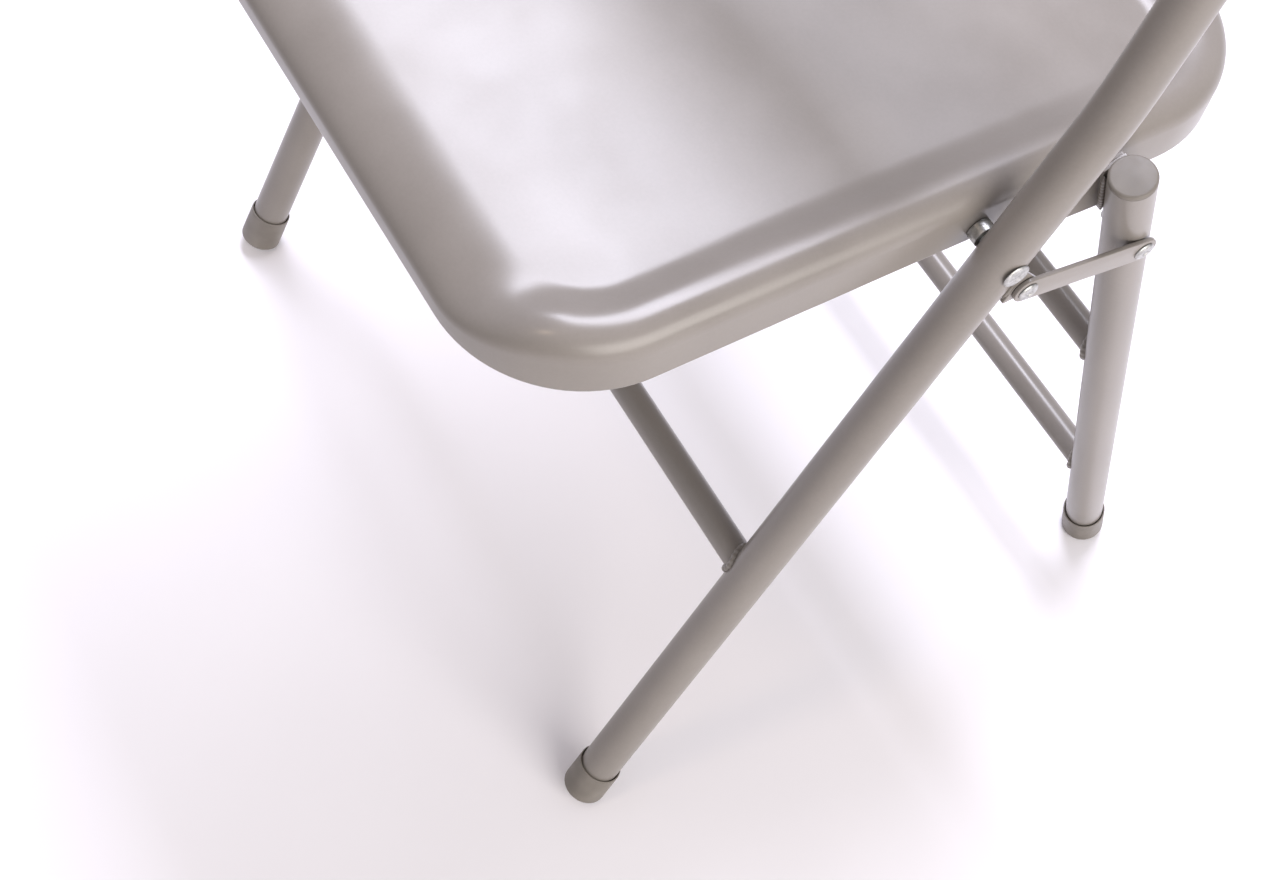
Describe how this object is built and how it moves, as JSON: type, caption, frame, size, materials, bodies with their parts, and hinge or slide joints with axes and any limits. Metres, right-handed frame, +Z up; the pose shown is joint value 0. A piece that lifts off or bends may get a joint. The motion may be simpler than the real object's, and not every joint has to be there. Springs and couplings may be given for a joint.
{
  "type": "folding chair",
  "caption": "Painted steel folding chair: bent-tube front frame and curved back rest, pressed seat pan whose front edge lifts to fold, hinged rear legs, linked side hinges, plastic foot caps.",
  "frame": {"origin": "centre of the chair's box on the floor", "axes": "+Z up; the sitter faces -Y, so the back rest is towards +Y; +X is the sitter's left"},
  "size_m": [0.4594, 0.411, 0.8199],
  "materials": {
    "painted_steel": "warm grey polyester powder coat, semi-gloss, fine orange peel",
    "zinc_steel": "zinc-plated steel, dull",
    "cap_plastic": "moulded grey polyethylene, satin"
  },
  "bodies": {
    "front_frame": {"front_frame_tube": "painted_steel", "front_crossbar": "painted_steel", "back_panel": "painted_steel", "back_rivet_lower_left": "zinc_steel", "back_rivet_lower_right": "zinc_steel", "back_rivet_upper_left": "zinc_steel", "back_rivet_upper_right": "zinc_steel", "front_foot_cap_left": "cap_plastic", "front_foot_cap_right": "cap_plastic", "seat_pivot_rivet_left": "zinc_steel", "seat_pivot_rivet_right": "zinc_steel", "seat_pivot_spacer_left": "zinc_steel", "seat_pivot_spacer_right": "zinc_steel", "link_bracket_left": "painted_steel", "link_bracket_right": "painted_steel", "link_front_rivet_left": "zinc_steel", "link_front_rivet_right": "zinc_steel"},
    "seat": {"seat_pan": "painted_steel", "pivot_plate_left": "painted_steel", "pivot_plate_right": "painted_steel", "rear_pivot_rivet_left": "zinc_steel", "rear_pivot_rivet_right": "zinc_steel", "rear_pivot_washer_left": "zinc_steel", "rear_pivot_washer_right": "zinc_steel"},
    "rear_frame": {"rear_leg_tube_left": "painted_steel", "rear_leg_tube_right": "painted_steel", "rear_crossbar_upper": "painted_steel", "rear_crossbar_lower": "painted_steel", "hinge_plate_left": "painted_steel", "hinge_plate_right": "painted_steel", "stop_stud_left": "zinc_steel", "stop_stud_right": "zinc_steel", "rear_foot_cap_left": "cap_plastic", "rear_foot_cap_right": "cap_plastic", "rear_leg_plug_left": "cap_plastic", "rear_leg_plug_right": "cap_plastic", "link_rear_rivet_left": "zinc_steel", "link_rear_rivet_right": "zinc_steel"},
    "link_left": {"folding_link_left": "painted_steel"},
    "link_right": {"folding_link_right": "painted_steel"}
  },
  "joints": [
    {"name": "seat_fold", "type": "hinge", "parent": "front_frame", "child": "seat", "pos_m": [0, 0.02185, 0.41009], "axis": [-1, 0, 0], "range_deg": [0, 111.5]},
    {"name": "rear_leg_fold", "type": "hinge", "parent": "seat", "child": "rear_frame", "pos_m": [0, 0.06773, 0.40669], "axis": [1, 0, 0], "range_deg": [0, 73.93]},
    {"name": "link_left_swing", "type": "hinge", "parent": "front_frame", "child": "link_left", "pos_m": [0.2268, 0.03057, 0.39547], "axis": [-1, 0, 0], "range_deg": [0, 93.65]},
    {"name": "link_right_swing", "type": "hinge", "parent": "front_frame", "child": "link_right", "pos_m": [-0.2268, 0.03057, 0.39547], "axis": [-1, 0, 0], "range_deg": [0, 93.65]}
  ],
  "couplings": [
    {"joint": "rear_leg_fold", "follows": "seat_fold", "ratio": 0.66298},
    {"joint": "link_left_swing", "follows": "seat_fold", "ratio": 0.83985},
    {"joint": "link_right_swing", "follows": "seat_fold", "ratio": 0.83985}
  ]
}
